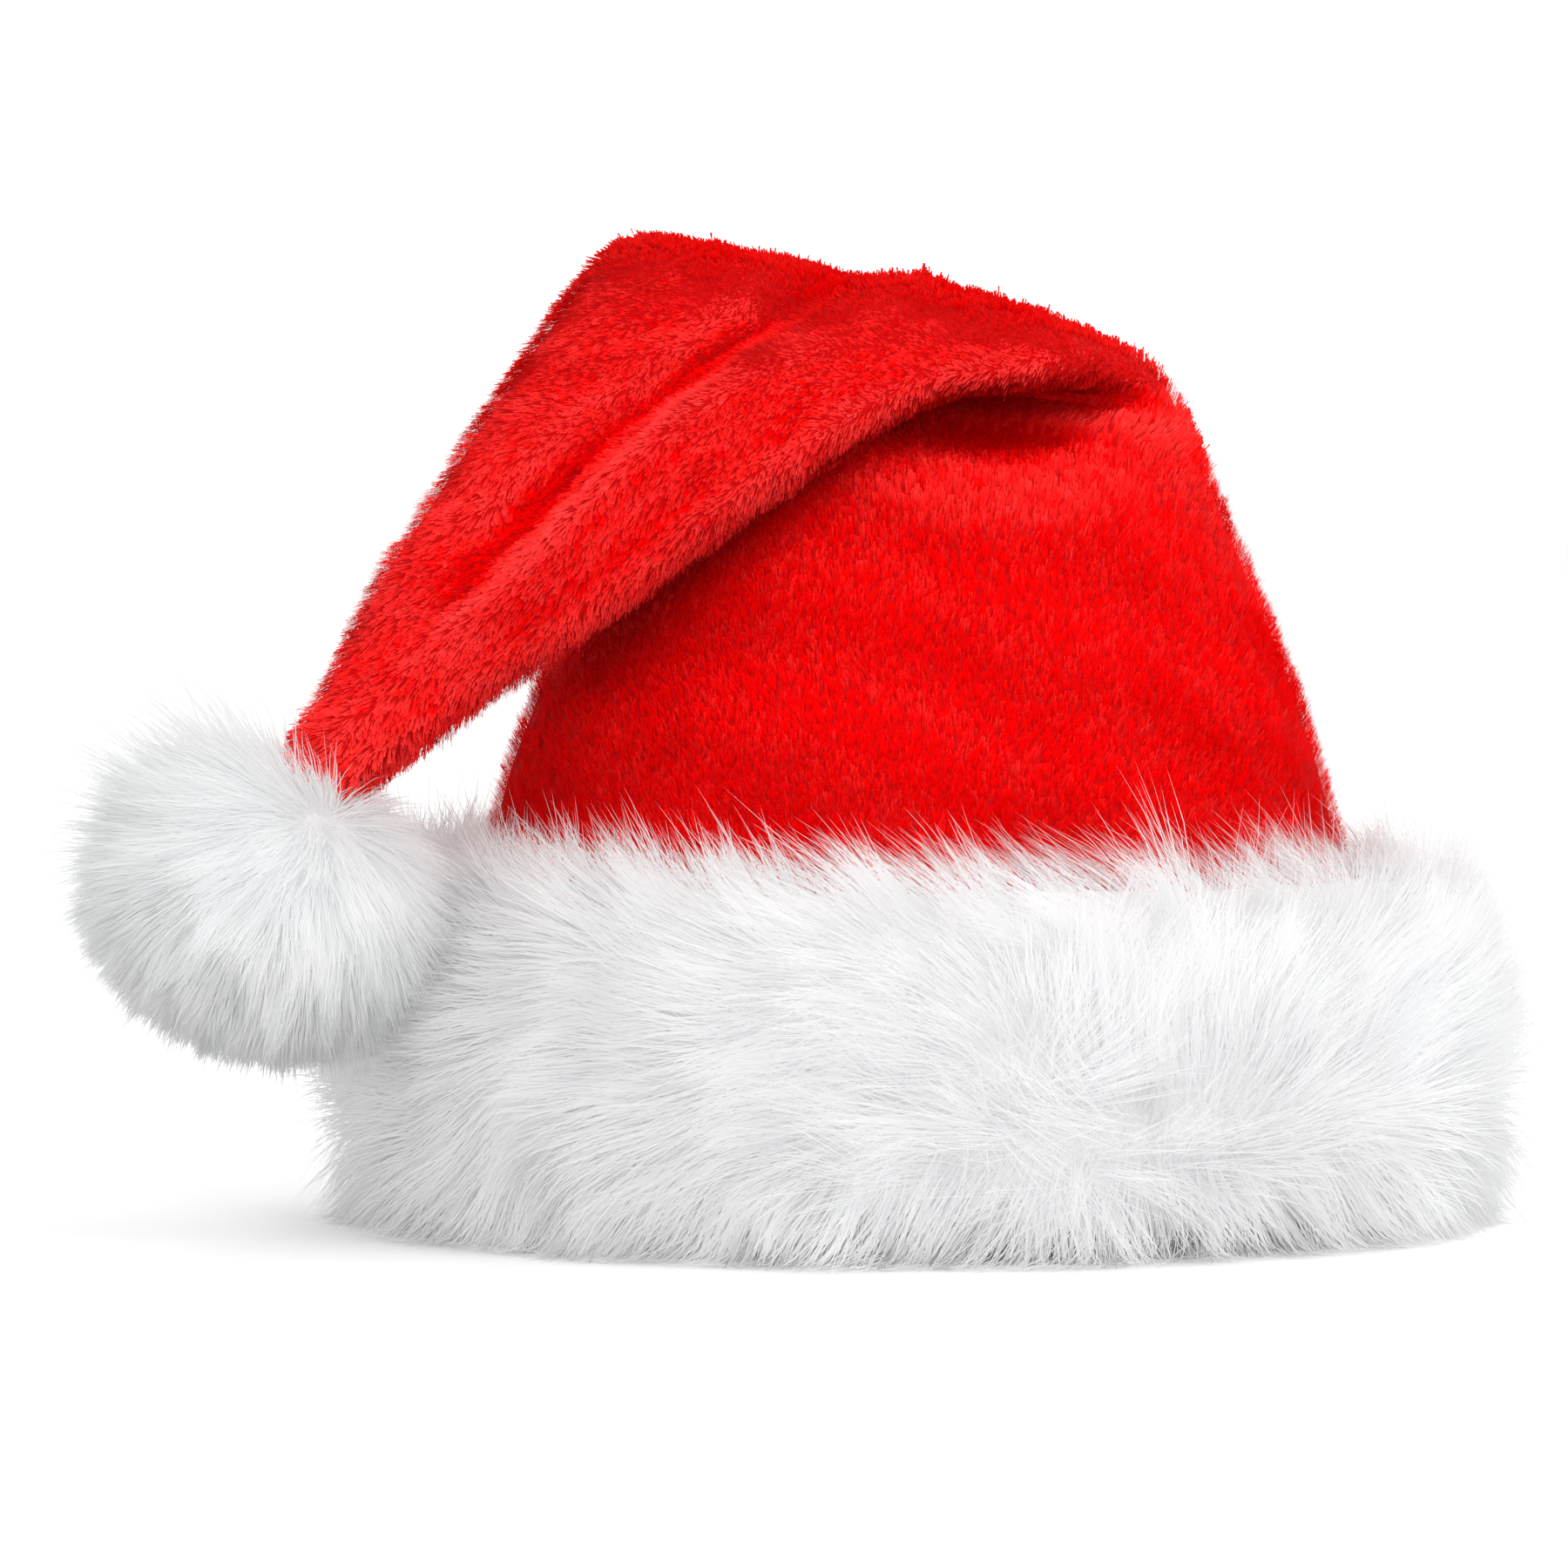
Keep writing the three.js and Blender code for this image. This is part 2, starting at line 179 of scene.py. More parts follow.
def ribbonMesh(name, paths, normal, width, tone, material, soften, shade=None):
    count, joints = len(paths), paths.shape[1] - 1
    steps = paths[:, 1:] - paths[:, :-1]
    side = unit(np.cross(steps, normal[:, None]))
    facing = unit(np.cross(side, steps))
    t = np.linspace(0, 1, joints + 1)
    taper = (1 - t[:-1] ** 2 * 0.55)[None, :, None] * width[:, None, None] / 2
    places = np.empty((count, 2 * joints + 1, 3))
    height = np.tile(np.append(np.repeat(t[:-1], 2), 1.0), (count, 1))
    if joints == 1:  # short pile is cut blunt, so its wide end is at the tip
        paths = paths[:, ::-1]
        side = -side
        height = 1 - height
    places[:, 0:-1:2] = paths[:, :-1] - side * taper
    places[:, 1:-1:2] = paths[:, :-1] + side * taper
    places[:, -1] = paths[:, -1]
    shading = np.empty_like(places)
    blended = unit(facing * (1 - soften) + normal[:, None] * soften)
    shading[:, 0:-1:2] = blended
    shading[:, 1:-1:2] = blended
    shading[:, -1] = blended[:, -1]
    pattern = []
    for i in range(joints - 1):
        pattern += [[2 * i, 2 * i + 1, 2 * i + 3], [2 * i, 2 * i + 3, 2 * i + 2]]
    pattern.append([2 * joints - 2, 2 * joints - 1, 2 * joints])
    pattern = np.array(pattern)
    starts = np.arange(count)[:, None, None] * (2 * joints + 1)
    corners = (pattern[None] + starts).reshape(-1)
    if shade is not None:
        height *= 1 - shade[:, None]  # painted shade: in a covered place a strand keeps more of its darker root colour
    mesh = bpy.data.meshes.new(name)
    mesh.vertices.add(places.size // 3)
    mesh.vertices.foreach_set("co", places.reshape(-1).astype(np.float32))
    mesh.loops.add(len(corners))
    mesh.loops.foreach_set("vertex_index", corners.astype(np.int32))
    mesh.polygons.add(len(corners) // 3)
    mesh.polygons.foreach_set("loop_start", np.arange(0, len(corners), 3, dtype=np.int32))
    mesh.update(calc_edges=True)
    layer = mesh.uv_layers.new(name="OFBake")  # across: the strand's tone, up: root to tip
    spots = np.stack([np.repeat(tone, height.shape[1]), height.reshape(-1)], 1)[corners]
    layer.uv.foreach_set("vector", spots.reshape(-1).astype(np.float32))
    mesh.polygons.foreach_set("use_smooth", np.ones(len(mesh.polygons), bool))
    mesh.normals_split_custom_set_from_vertices(shading.reshape(-1, 3))
    mesh.materials.append(material)
    obj = bpy.data.objects.new(name, mesh)
    bpy.context.scene.collection.objects.link(obj)
    obj.visible_shadow = False  # fine hair lets the light through, the cloth under it casts the shade
    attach(obj, "root")
    print(name, "strands", count, "triangles", len(mesh.polygons))
    return obj


# finishes

def newGroup(name, inputs, outputs):
    group = bpy.data.node_groups.new(name, "ShaderNodeTree")
    for label, kind in inputs:
        group.interface.new_socket(label, in_out="INPUT", socket_type=kind)
    for label, kind in outputs:
        group.interface.new_socket(label, in_out="OUTPUT", socket_type=kind)
    return group, group.nodes.new("NodeGroupInput"), group.nodes.new("NodeGroupOutput")


def makeStrandTint():  # a strand's colour, from its root to its tip and from dull to bright strands; the darker root colour is painted shade deep in the pile, where the strands cast none
    group, given, result = newGroup(
        "strandTint",
        [("Root", "NodeSocketColor"), ("Dull", "NodeSocketColor"), ("Bright", "NodeSocketColor")],
        [("Color", "NodeSocketColor")],
    )
    nodes, links = group.nodes, group.links
    place = nodes.new("ShaderNodeUVMap")
    place.uv_map = "OFBake"
    parts = nodes.new("ShaderNodeSeparateXYZ")
    links.new(place.outputs["UV"], parts.inputs[0])
    tone = nodes.new("ShaderNodeMix")
    tone.data_type = "RGBA"
    links.new(parts.outputs["X"], tone.inputs["Factor"])
    links.new(given.outputs["Dull"], tone.inputs["A"])
    links.new(given.outputs["Bright"], tone.inputs["B"])
    rise = nodes.new("ShaderNodeMapRange")
    rise.interpolation_type = "SMOOTHSTEP"
    rise.inputs["From Min"].default_value = -0.3
    rise.inputs["From Max"].default_value = 0.95
    links.new(parts.outputs["Y"], rise.inputs["Value"])
    whole = nodes.new("ShaderNodeMix")
    whole.data_type = "RGBA"
    links.new(rise.outputs["Result"], whole.inputs["Factor"])
    links.new(given.outputs["Root"], whole.inputs["A"])
    links.new(tone.outputs["Result"], whole.inputs["B"])
    links.new(whole.outputs["Result"], result.inputs["Color"])
    return group


strandTint = makeStrandTint()


def strandMaterial(name, root, dull, bright, roughness, shine, through):
    material = bpy.data.materials.new(name)
    material.use_nodes = True
    nodes, links = material.node_tree.nodes, material.node_tree.links
    surface = nodes["Principled BSDF"]
    tint = nodes.new("ShaderNodeGroup")
    tint.node_tree = strandTint
    for label, colour in (("Root", root), ("Dull", dull), ("Bright", bright)):
        tint.inputs[label].default_value = (*colour, 1)
    links.new(tint.outputs["Color"], surface.inputs["Base Color"])
    surface.inputs["Roughness"].default_value = roughness
    surface.inputs["Specular IOR Level"].default_value = shine
    glow = nodes.new("ShaderNodeBsdfTranslucent")
    links.new(tint.outputs["Color"], glow.inputs["Color"])
    both = nodes.new("ShaderNodeMixShader")
    both.inputs["Fac"].default_value = through  # light passes fine hair
    links.new(surface.outputs[0], both.inputs[1])
    links.new(glow.outputs[0], both.inputs[2])
    links.new(both.outputs[0], nodes["Material Output"].inputs["Surface"])
    return material


def clothMaterial(name, dark, light, scale, bump, roughness):  # a knitted ground under pile or fur
    material = bpy.data.materials.new(name)
    material.use_nodes = True
    nodes, links = material.node_tree.nodes, material.node_tree.links
    surface = nodes["Principled BSDF"]
    where = nodes.new("ShaderNodeTexCoord")
    loops = nodes.new("ShaderNodeTexVoronoi")
    loops.inputs["Scale"].default_value = scale
    links.new(where.outputs["Object"], loops.inputs["Vector"])
    cloud = nodes.new("ShaderNodeTexNoise")
    cloud.inputs["Scale"].default_value = scale * 0.06
    cloud.inputs["Detail"].default_value = 5
    links.new(where.outputs["Object"], cloud.inputs["Vector"])
    blend = nodes.new("ShaderNodeMath")
    blend.operation = "MULTIPLY_ADD"
    links.new(loops.outputs["Distance"], blend.inputs[0])
    blend.inputs[1].default_value = 0.6
    links.new(cloud.outputs["Fac"], blend.inputs[2])
    ramp = nodes.new("ShaderNodeValToRGB")
    ramp.color_ramp.elements[0].position = 0.3
    ramp.color_ramp.elements[0].color = (*dark, 1)
    ramp.color_ramp.elements[1].position = 1.0
    ramp.color_ramp.elements[1].color = (*light, 1)
    links.new(blend.outputs[0], ramp.inputs["Fac"])
    links.new(ramp.outputs["Color"], surface.inputs["Base Color"])
    relief = nodes.new("ShaderNodeBump")
    relief.inputs["Strength"].default_value = bump
    relief.inputs["Distance"].default_value = 0.0008
    links.new(loops.outputs["Distance"], relief.inputs["Height"])
    links.new(relief.outputs["Normal"], surface.inputs["Normal"])
    surface.inputs["Roughness"].default_value = roughness
    surface.inputs["Specular IOR Level"].default_value = 0.15
    return material


# red_ground is darker than the pile: painted shade between the tufts, as the strands cast none
redGround = clothMaterial("red_ground", (0.46, 0.0, 0.001), (0.64, 0.001, 0.002), 900, 0.6, 0.9)
redBacking = clothMaterial("red_backing", (0.34, 0.008, 0.014), (0.6, 0.03, 0.04), 620, 0.9, 0.92)
# the dark root is painted shade deep in the pile, the pinkish bright end a painted highlight on the tips
redPile = strandMaterial(
    "red_pile", root=(0.38, 0.0, 0.0), dull=(0.92, 0.0, 0.001), bright=(1.0, 0.075, 0.07),
    roughness=0.8, shine=0.0, through=0.2,
)
# white_ground is grey, darker than the fur: painted shade under the strands, as they cast none
whiteGround = clothMaterial("white_ground", (0.59, 0.59, 0.595), (0.67, 0.67, 0.67), 700, 0.5, 0.95)
whiteFur = strandMaterial(
    "white_fur", root=(0.77, 0.77, 0.78), dull=(0.8, 0.805, 0.81), bright=(0.91, 0.91, 0.91),
    roughness=0.6, shine=0.1, through=0.5,
)
pompomFur = strandMaterial(
    "pompom_fur", root=(0.76, 0.77, 0.775), dull=(0.78, 0.79, 0.795), bright=(0.87, 0.87, 0.87),
    roughness=0.6, shine=0.1, through=0.5,
)


# crown: the red cloth, copied from the solid's outer sheet

crownLook = {
    "wall": 0.0024,
    "hemRim": 0.0004,  # faces this near the hem close the wall, and are taken off
    "pileFrom": 0.070,  # pile shows above this height, the band hides the rest
    "sown": 520000,  # roots over the whole cloth, of which the pieces below keep at most their own number
    "bodyStrands": 180000,
    "tailStrands": 180000,
    "pileLength": 0.0045,
    "pileWidth": 0.00034,
    "liftRoot": 58,  # degrees off the cloth
    "liftTip": 24,
    "paintedHighlight": (0.02, 0.18),  # painted highlight: share of paler, pinkish tips, low on the body and up on the fold and tail
    "tufts": (0.07, 0.11),  # how much the tufts differ there
    "deep": (0.28, 0.0),  # painted shade: how much darker the pile is there, the lower body darker than the fold and tail
    "upperFrom": (0.135, 0.185),  # heights between which the body's values turn into the fold's
    "coverFrom": (0.05, 0.25),  # painted shade: covered more than this, the pile is painted darker
    "coverReach": 0.09,  # cloth as far off as this covers
    "reach": 0.011,  # how far round a place counts when its hollow or ridge is felt
    "cutFlat": (0.62, 0.40),  # the cloth's cut: a cone laid flat
}


def makeCrownCloth():
    cloth = copyNode("crown", "crown_cloth")
    mesh = cloth.data
    rimTop = crownLow.z + crownLook["hemRim"]
    for vertex in mesh.vertices:
        vertex.select = False
    for edge in mesh.edges:
        edge.select = False
    for face in mesh.polygons:
        face.select = all(mesh.vertices[i].co.z < rimTop for i in face.vertices)
    bpy.ops.object.mode_set(mode="EDIT")
    bpy.ops.mesh.delete(type="FACE")
    bpy.ops.mesh.select_all(action="SELECT")
    bpy.ops.mesh.separate(type="LOOSE")
    bpy.ops.object.mode_set(mode="OBJECT")
    sheets = sorted(bpy.context.selected_objects, key=lambda o: o.dimensions.length)
    outer = sheets.pop()
    for spare in sheets:
        bpy.data.meshes.remove(spare.data)
    outer.name = "crown_cloth"
    pickOnly(outer)
    bpy.ops.object.mode_set(mode="EDIT")
    bpy.ops.mesh.select_all(action="SELECT")
    bpy.ops.mesh.tris_convert_to_quads(face_threshold=math.pi, shape_threshold=math.pi)
    bpy.ops.object.mode_set(mode="OBJECT")
    return outer


def ringsFromHem(mesh):  # how many edges each vertex lies above the hem
    near = [[] for vertex in mesh.vertices]
    for edge in mesh.edges:
        a, b = edge.vertices
        near[a].append(b)
        near[b].append(a)
    rings = np.full(len(mesh.vertices), -1)
    waiting = deque()
    for vertex in mesh.vertices:
        if vertex.co.z < crownLow.z + crownLook["hemRim"]:
            rings[vertex.index] = 0
            waiting.append(vertex.index)
    while waiting:
        i = waiting.popleft()
        for j in near[i]:
            if rings[j] < 0:
                rings[j] = rings[i] + 1
                waiting.append(j)
    return rings, near


def napAlong(mesh):  # the pile leans from the hem to the tip
    rings, near = ringsFromHem(mesh)
    places = vertexArray(mesh)
    nap = np.zeros_like(places)
    for i, others in enumerate(near):
        for j in others:
            if rings[j] != rings[i]:
                nap[i] += (places[j] - places[i]) * (1 if rings[j] > rings[i] else -1)
    middles = np.array([places[rings == r][:, 2].mean() for r in range(rings.max() + 1)])
    return unit(nap), rings.astype(float), int(middles.argmax())


def hollowsOf(mesh, reach):  # above zero in a hollow of the cloth, below zero on a ridge
    places = vertexArray(mesh)
    normals = np.array([vertex.normal for vertex in mesh.vertices])
    tree = KDTree(len(places))
    for i, place in enumerate(places):
        tree.insert(place, i)
    tree.balance()
    hollows = np.zeros(len(places))
    for i, place in enumerate(places):
        others = np.array([j for spot, j, far in tree.find_range(place, reach)])
        others = others[normals[others] @ normals[i] > 0.1]
        hollows[i] = ((places[others] - place) @ normals[i]).mean() / reach
    return hollows


def clothTree(mesh):
    return BVHTree.FromPolygons([v.co for v in mesh.vertices], [f.vertices[:] for f in mesh.polygons])


def coverOf(mesh, tree, reach):  # how much of the sky over each vertex other cloth covers
    rays = unit(np.random.default_rng(3).normal(size=(56, 3)))
    cover = np.zeros(len(mesh.vertices))
    for vertex in mesh.vertices:
        towards = unit(rays + np.array(vertex.normal) * 1.02)
        start = vertex.co + vertex.normal * 0.002
        met = [tree.ray_cast(start, Vector(ray), reach)[0] is not None for ray in towards]
        cover[vertex.index] = np.mean(met)
    return cover


def storeVectors(mesh, name, kind, values):
    layer = mesh.attributes.new(name, kind, "POINT")
    field = "vector" if kind == "FLOAT_VECTOR" else "value"
    layer.data.foreach_set(field, values.reshape(-1).astype(np.float32))


def readVectors(mesh, name, width):
    values = np.empty(len(mesh.vertices) * width, np.float32)
    mesh.attributes[name].data.foreach_get("vector" if width == 3 else "value", values)
    return values.reshape(-1, width).astype(float)


def pileOn(name, roots):
    look = crownLook
    place = roots["place"]
    wander = drift(place, 0.030, 5) * 0.20 + drift(place, 0.007, 6) * 0.22
    flow = unit(roots["nap"] + wander + dice.normal(size=place.shape) * 0.10)
    upper = smoothstep(*look["upperFrom"], place[:, 2])
    if name == "crown_pile_tail":
        upper[:] = 1
    paintedHighlight, differ, deep, coverFrom = (
        np.interp(upper, [0, 1], look[key]) for key in ("paintedHighlight", "tufts", "deep", "coverFrom")
    )
    cover = smoothstep(coverFrom, 0.75, roots["cover"][:, 0])
    length = look["pileLength"] * dice.uniform(0.72, 1.18, len(place)) * (1 - 0.45 * cover)
    stray = dice.random(len(place)) < 0.04
    length[stray] *= 1.3
    liftRoot = look["liftRoot"] + dice.normal(size=len(place)) * 8
    liftTip = look["liftTip"] + dice.normal(size=len(place)) * 10 + drift(place, 0.010, 7)[:, 0] * 14
    paths = curveStrands(roots, flow, length, liftRoot, liftTip, 1)
    paths, tuft = gatherTips(paths, 0.12, 0.25 + differ * 2)
    # painted highlight: more paler tips on ridges and fewer in hollows; besides that the tone differs at
    # random, in patches and by tuft
    tone = paintedHighlight + drift(place, 0.022, 8)[:, 0] * 0.06 + dice.normal(size=len(place)) * 0.08
    tone += dice.normal(size=len(place))[tuft] * differ - (roots["hollow"][:, 0] * 2.2).clip(-0.5, 0.4)
    # painted shade: darker where other cloth covers the sky, in hollows, in wandering patches and on the
    # lower body, lighter on ridges; tufts also differ at random
    shade = cover * 0.9 + (roots["hollow"][:, 0] * 1.5).clip(-0.25, 0.3) + drift(place, 0.05, 9)[:, 0] * 0.16
    shade += dice.normal(size=len(place))[tuft] * differ + deep
    width = look["pileWidth"] * dice.uniform(0.75, 1.25, len(place))
    pile = ribbonMesh(
        name, paths, roots["normal"], width, tone.clip(0.02, 0.98), redPile, 0.8, shade.clip(0, 0.95)
    )
    return pile


crownCloth = makeCrownCloth()
nap, rings, crestRing = napAlong(crownCloth.data)
storeVectors(crownCloth.data, "nap", "FLOAT_VECTOR", nap)
storeVectors(crownCloth.data, "ring", "FLOAT", rings)
storeVectors(crownCloth.data, "hollow", "FLOAT", hollowsOf(crownCloth.data, crownLook["reach"]))
crownTree = clothTree(crownCloth.data)
storeVectors(crownCloth.data, "cover", "FLOAT", coverOf(crownCloth.data, crownTree, crownLook["coverReach"]))
print("crown cloth faces", len(crownCloth.data.polygons), "rings", int(rings.max()), "crest", crestRing)

clothFields = {"nap": 3, "ring": 1, "hollow": 1, "cover": 1}
sown = spreadRoots(
    crownCloth.data,
    crownLook["sown"],
    {key: readVectors(crownCloth.data, key, width) for key, width in clothFields.items()},
)
sown["nap"] = unit(sown["nap"])
shown = sown["place"][:, 2] > crownLook["pileFrom"]
onTail = sown["ring"][:, 0] > crestRing
for name, mask, wanted in (
    ("crown_pile_body", shown & ~onTail, crownLook["bodyStrands"]),
    ("crown_pile_tail", shown & onTail, crownLook["tailStrands"]),
):
    pileOn(name, thinRoots(sown, mask, wanted))

crownCloth.data.materials.append(redGround)
crownCloth.data.materials.append(redBacking)
applyModifier(
    crownCloth, "SOLIDIFY", thickness=crownLook["wall"], offset=-1, use_even_offset=False, material_offset=1,
    material_offset_rim=1,
)
pickOnly(crownCloth)
bpy.ops.object.shade_smooth()
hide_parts("crown")
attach(crownCloth, "root")


# fur band: soft underfur from the solid, and combed fur on it

bandLook = {
    "voxel": 0.0034,
    "smoothing": 40,
    "drawnIn": 0.002,  # the underfur lies this far inside the solid, and the fur fills the rest
    "height": 0.086,  # the backing's, against which heights on the band are told
    "sown": 150000,  # roots all over it, of which the front and the back keep their own number
    "frontStrands": 39000,
    "backStrands": 36000,
    "furLength": 0.033,
    "furWidth": 0.00024,
    "liftRoot": 22,
    "liftTip": 5,
    "sag": 0.08,
    "tone": 0.62,
    "offCrown": 0.0012,  # the fringe keeps this far off the cloth
    "parting": -70,  # degrees round from +X, where the combed fur divides
    "partingHalf": 26,  # degrees to each side in which it turns
    "swirl": (-0.060, 0.031),  # left along the front and up, where the fur turns down
}


def makeUnderfur(node, name, look):
    under = copyNode(node, name)
    applyModifier(under, "REMESH", mode="VOXEL", voxel_size=look["voxel"])
    applyModifier(under, "SMOOTH", factor=0.5, iterations=look["smoothing"])
    applyModifier(under, "REMESH", mode="VOXEL", voxel_size=look["voxel"] * 1.5)  # thin tips drop out
    applyModifier(under, "SMOOTH", factor=0.5, iterations=look["smoothing"] // 2)
    applyModifier(under, "DISPLACE", strength=-look["drawnIn"], mid_level=0)
    pickOnly(under)
    bpy.ops.object.shade_smooth()
    under.data.materials.append(whiteGround)
    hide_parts(node)
    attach(under, "root")
    print(name, "faces", len(under.data.polygons))
    return under


def bandFlow(place):
    across = (place[:, 0] - headX) / headHalfWidth
    deep = (place[:, 1] - headY) / headHalfDepth
    outward = unit(np.stack([across, deep, np.zeros(len(place))], 1))
    leftward = np.stack([outward[:, 1], -outward[:, 0], np.zeros(len(place))], 1)
    turn = np.arctan2(deep, across) - math.radians(bandLook["parting"])
    turn += drift(place, 0.025, 16)[:, 0] * 0.08 + dice.normal(size=len(place)) * 0.04  # no clean line
    # heights are shares of the band's, steepness is in degrees, level runs from -1 left to 1 right
    height = place[:, 2] / bandLook["height"]
    half = np.radians(np.interp(height, [0.06, 0.18, 0.3], [36, 18, bandLook["partingHalf"]]))
    level = (np.sin(turn) / np.sin(half)).clip(-1, 1)
    top = smoothstep(0.7, 0.88, height)
    level = level * (1 - top) - top  # the top edge leans to the left all round
    steepLeft = np.interp(height, [0, 0.25, 0.5, 0.72, 0.9, 1.05], [-34, -16, -4, 10, 42, 64])
    steepRight = np.interp(height, [0, 0.2, 0.4, 0.6, 0.85, 1.05], [-55, -38, 5, 30, 55, 68])
    near = np.exp(-((np.sin(turn) / math.sin(math.radians(34))) ** 2)) * (np.cos(turn) > 0)
    steepLeft += near * (np.interp(height, [0, 0.15, 0.3, 0.5, 0.8], [-48, -24, -8, 2, 30]) - steepLeft)
    steepRight += near * (np.interp(height, [0, 0.1, 0.22, 0.45, 0.8], [-60, -42, 12, 40, 58]) - steepRight)
    low = 20 + 50 * smoothstep(-0.1, 0.6, across)
    steepLeft -= low * smoothstep(0.0, 0.5, deep) * smoothstep(0.5, 0.85, height)  # it lies lower at the back
    swirlX, swirlZ = bandLook["swirl"]
    far = np.hypot(place[:, 0] - swirlX, place[:, 2] - swirlZ)
    steepLeft = steepLeft - 38 * np.exp(-((far / 0.024) ** 2)) * (deep < 0)
    steep = np.radians(np.where(level > 0, steepRight, steepLeft) + drift(place, 0.045, 11)[:, 0] * 16)
    rise = np.sin(steep) + (1 - np.abs(level)) * np.interp(height, [0.1, 0.2, 0.4], [-0.4, 0.5, 0.9])
    flow = leftward * (-level * np.cos(steep))[:, None] + np.array([0, 0, 1]) * rise[:, None]
    stir = (0.25 + 0.4 * near) * (1 - top)
    flow += drift(place, 0.02, 17) * stir[:, None]  # so the parting is no even star
    inward = smoothstep(0.82, 0.98, height) * np.interp(deep, [-0.8, 0.3], [0.4, 1.2])
    return unit(flow - outward * inward[:, None]), outward, height  # the top edge leans on the crown


def keepOffCrown(paths, strands, gap):  # these strands lie on the crown, not through it
    for i in strands:
        for j in range(1, paths.shape[1]):
            spot, normal, face, far = crownTree.find_nearest(paths[i, j])
            depth = (Vector(paths[i, j]) - spot).dot(normal)
            if depth < gap:
                paths[i, j] += np.array(normal) * (gap - depth)


def combBand(name, roots):
    look = bandLook
    place = roots["place"]
    flow, outward, height = bandFlow(place)
    flow += drift(place, 0.030, 12) * 0.14 + drift(place, 0.011, 15) * 0.26
    count = len(place)
    skirt = (height < 0.34) & (dice.random(count) < np.interp(height, [0.1, 0.34], [0.9, 0.5]))
    flow[skirt] = flow[skirt] * 0.55 + np.array([0, 0, -1]) + outward[skirt] * 0.2  # hides the bottom edge
    flow = unit(flow + dice.normal(size=place.shape) * 0.09)
    length = look["furLength"] * dice.uniform(0.6, 1.15, count)
    length *= np.interp(height, [0.5, 0.78, 0.95], [1.0, 0.75, 0.5])
    longer = (height > 0.76) & (dice.random(count) < 0.62)
    length[longer] *= dice.uniform(1.2, 2.0, count)[longer]  # the top edge's long hairs
    straight = np.maximum((flow * roots["normal"]).sum(1), 0)
    length *= 1 - 0.5 * straight  # strands that stand straight out are the short ones
    liftRoot = look["liftRoot"] + dice.normal(size=count) * 6
    liftTip = look["liftTip"] + dice.normal(size=count) * 6
    stray = dice.random(count) < 0.07
    length[stray] *= 1.15
    liftTip[stray] += 16
    behind = smoothstep(0.0, 0.03, place[:, 1] - headY) * smoothstep(0.55, 0.8, height)
    behind *= smoothstep(-0.02, 0.06, place[:, 0] - headX)
    length *= 1 - 0.45 * behind  # and it is shorter and flatter at the right of the back
    liftRoot *= 1 - 0.5 * behind
    liftTip *= 1 - 0.5 * behind
    paths = frizz(curveStrands(roots, flow, length, liftRoot, liftTip, 3, look["sag"]), length, 0.07)
    paths = gatherTips(paths, 0.08, np.interp(height, [0.7, 0.9], [0.4, 0.45]))[0]  # small tufts
    paths, lock = gatherTips(paths, 0.012, 0.2)  # and broad locks
    wave = drift(paths[:, 1:].reshape(-1, 3), 0.020, 13).reshape(count, -1, 3) * 0.0012
    paths[:, 1:] += wave
    paths[:, :, 2] = np.maximum(paths[:, :, 2], 0.0003 + dice.random(count)[:, None] * 0.0012)
    keepOffCrown(paths, np.flatnonzero(height > 0.6), look["offCrown"])
    tone = look["tone"] + drift(place, 0.03, 14)[:, 0] * 0.08 + dice.normal(size=count) * 0.16
    tone += (dice.normal(size=count) * 0.10)[lock]
    width = look["furWidth"] * dice.uniform(0.7, 1.3, count)
    width[longer] *= 0.8
    fur = ribbonMesh(name, paths, roots["normal"], width, tone.clip(0.02, 0.98), whiteFur, 0.9)
    return fur


bandUnderfur = makeUnderfur("fur_band", "band_underfur", bandLook)
sown = spreadRoots(bandUnderfur.data, bandLook["sown"])
flow, outward, height = bandFlow(sown["place"])
outside = ((sown["normal"] * outward).sum(1) > -0.25) | (height > 0.9)
atFront = sown["place"][:, 1] < headY
for name, mask, wanted in (
    ("band_fur_front", outside & atFront, bandLook["frontStrands"]),
    ("band_fur_back", outside & ~atFront, bandLook["backStrands"]),
):
    combBand(name, thinRoots(sown, mask, wanted))
print("fur band done")


# pompom: a stuffed head with fur that falls from the sewn point

pompomLook = {
    "voxel": 0.003,
    "smoothing": 40,
    "drawnIn": 0.002,
    "strands": 38000,
    "furLength": 0.021,
    "furWidth": 0.00023,
    "liftRoot": 34,
    "liftTip": 10,
    "sag": 0.15,
    "tone": 0.6,
    "sewn": (-0.100, -0.092, 0.118),  # the tip, which the fur falls away from
    "fill": 0.8,
}


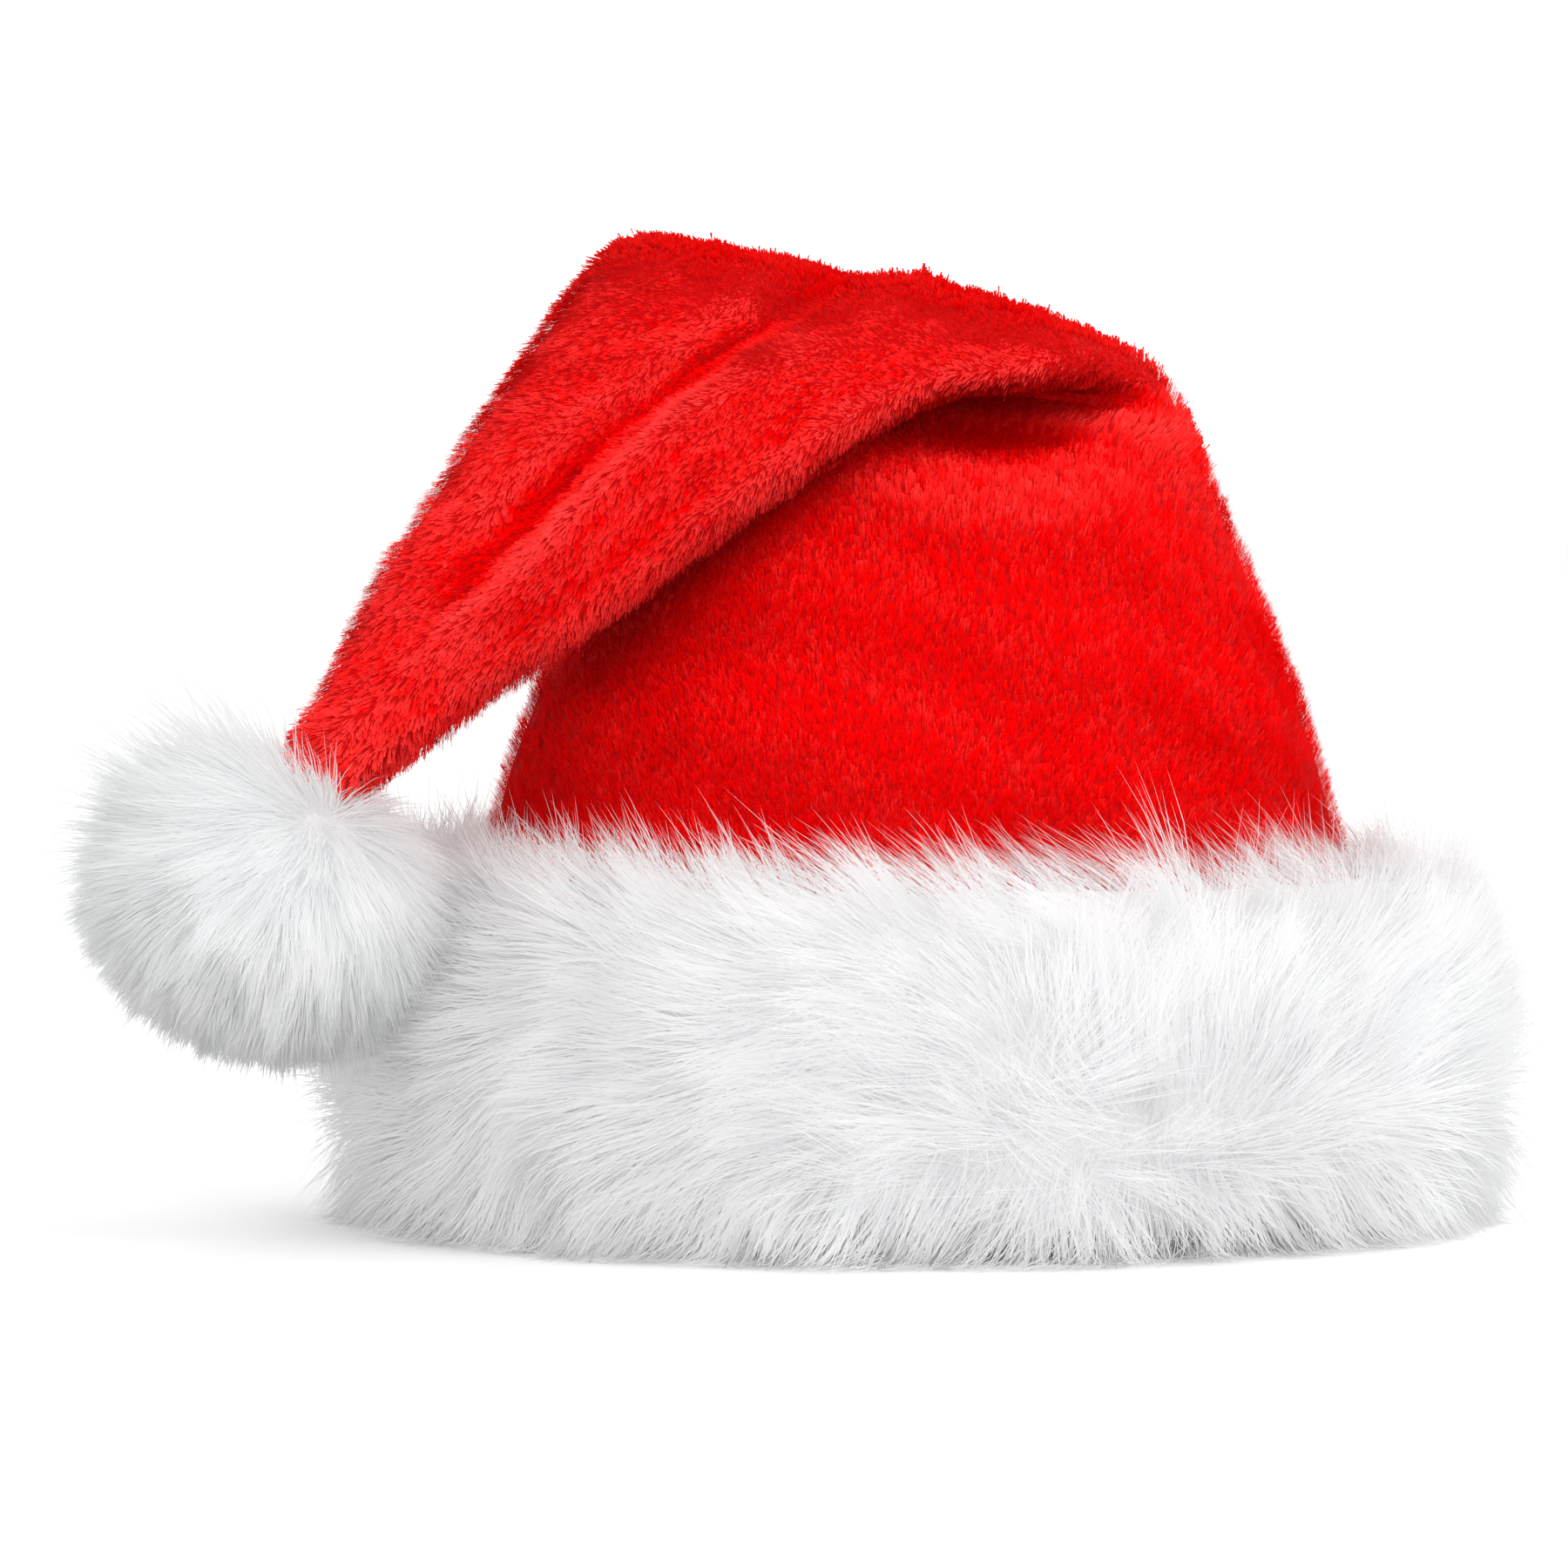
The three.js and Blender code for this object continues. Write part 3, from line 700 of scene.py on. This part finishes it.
def combPompom(name, roots):
    look = pompomLook
    place = roots["place"]
    count = len(place)
    away = unit(place - np.array(look["sewn"]))
    flow = away + np.array([0, 0, -0.15]) + drift(place, 0.03, 21) * 0.22 + drift(place, 0.01, 23) * 0.2
    crest = smoothstep(0.070, 0.100, place[:, 2]) * smoothstep(-0.105, -0.130, place[:, 0])
    flow[:, 2] += crest * 0.9  # the upper left stands up in wisps
    flow = unit(flow + dice.normal(size=place.shape) * 0.08)
    length = look["furLength"] * dice.uniform(0.65, 1.2, count) * (1 + 0.3 * crest)
    straight = np.maximum((flow * roots["normal"]).sum(1), 0)
    length *= 1 - 0.5 * straight
    liftRoot = look["liftRoot"] + dice.normal(size=count) * 8
    liftTip = look["liftTip"] + dice.normal(size=count) * 10
    stray = dice.random(count) < 0.1
    length[stray] *= 1.3 + 0.4 * crest[stray]
    liftTip[stray] += 15 + 15 * crest[stray]
    paths = frizz(curveStrands(roots, flow, length, liftRoot, liftTip, 3, look["sag"]), length, 0.08)
    paths = gatherTips(paths, 0.08, 0.4)[0]
    paths, lock = gatherTips(paths, 0.012, 0.3)
    tone = look["tone"] + drift(place, 0.025, 22)[:, 0] * 0.08 + dice.normal(size=count) * 0.14
    tone += (dice.normal(size=count) * 0.08)[lock]
    width = look["furWidth"] * dice.uniform(0.7, 1.3, count)
    fur = ribbonMesh(name, paths, roots["normal"], width, tone.clip(0.02, 0.98), pompomFur, 0.9)
    return fur


pompomCore = makeUnderfur("pompom", "pompom_core", pompomLook)
combPompom("pompom_fur", spreadRoots(pompomCore.data, pompomLook["strands"]))
print("pompom done")


# studio: a pale floor, soft white light and the camera

stageLook = {
    "floorSize": 12.0,
    "floorGrey": 0.93,
    "world": 1.08,
    "lamps": {  # place, size and power of each
        "key": ((1.2, -1.1, 1.5), 1.2, 16.0),
        "fill": ((-0.9, -1.9, 0.3), 1.8, 12.0),
        "rim": ((0.9, 1.1, 1.4), 1.2, 6.0),
    },
    "lampsAim": (0, 0, 0.1),
    "picture": 1800,
    "distance": 2.0,
    "raised": 3.0,
    "perPixel": 0.000196,  # metres of the object for each of the picture's pixels
    "aimLeft": 0.03136,
    "aimHeight": 0.0978,
}


def makeFloor():
    bpy.ops.object.select_all(action="DESELECT")
    bpy.ops.mesh.primitive_plane_add(size=stageLook["floorSize"], location=(0, 0, 0))
    floor = bpy.context.object
    floor.name = "floor"
    material = bpy.data.materials.new("floor_paper")
    material.use_nodes = True
    surface = material.node_tree.nodes["Principled BSDF"]
    surface.inputs["Base Color"].default_value = (*[stageLook["floorGrey"]] * 3, 1)
    surface.inputs["Roughness"].default_value = 0.9
    surface.inputs["Specular IOR Level"].default_value = 0.1
    floor.data.materials.append(material)


def makeLight(name, place, size, power):
    lamp = bpy.data.lights.new(name, "AREA")
    lamp.energy = power
    lamp.size = size
    obj = bpy.data.objects.new(name, lamp)
    bpy.context.scene.collection.objects.link(obj)
    obj.location = place
    aim = Vector(stageLook["lampsAim"]) - Vector(place)
    obj.rotation_euler = aim.to_track_quat("-Z", "Y").to_euler()


def makeCamera():
    look = stageLook
    camera = bpy.data.cameras.new("camera")
    camera.sensor_width = 36
    camera.lens = camera.sensor_width * look["distance"] / (look["picture"] * look["perPixel"])
    camera.clip_end = 50
    obj = bpy.data.objects.new("camera", camera)
    bpy.context.scene.collection.objects.link(obj)
    aim = Vector((headX - look["aimLeft"], headY, look["aimHeight"]))
    up = math.radians(look["raised"])
    back = Vector((0, -math.cos(up), math.sin(up)))
    obj.location = aim + back * look["distance"]
    obj.rotation_euler = (-back).to_track_quat("-Z", "Y").to_euler()
    bpy.context.scene.camera = obj


makeFloor()
for name, (place, size, power) in stageLook["lamps"].items():
    makeLight(name, place, size, power)
world = bpy.data.worlds.new("studio")
world.use_nodes = True
world.node_tree.nodes["Background"].inputs["Color"].default_value = (1, 1, 1, 1)
world.node_tree.nodes["Background"].inputs["Strength"].default_value = stageLook["world"]
bpy.context.scene.world = world
bpy.context.scene.view_settings.view_transform = "Standard"
bpy.context.scene.view_settings.look = "None"
makeCamera()
print("studio done")
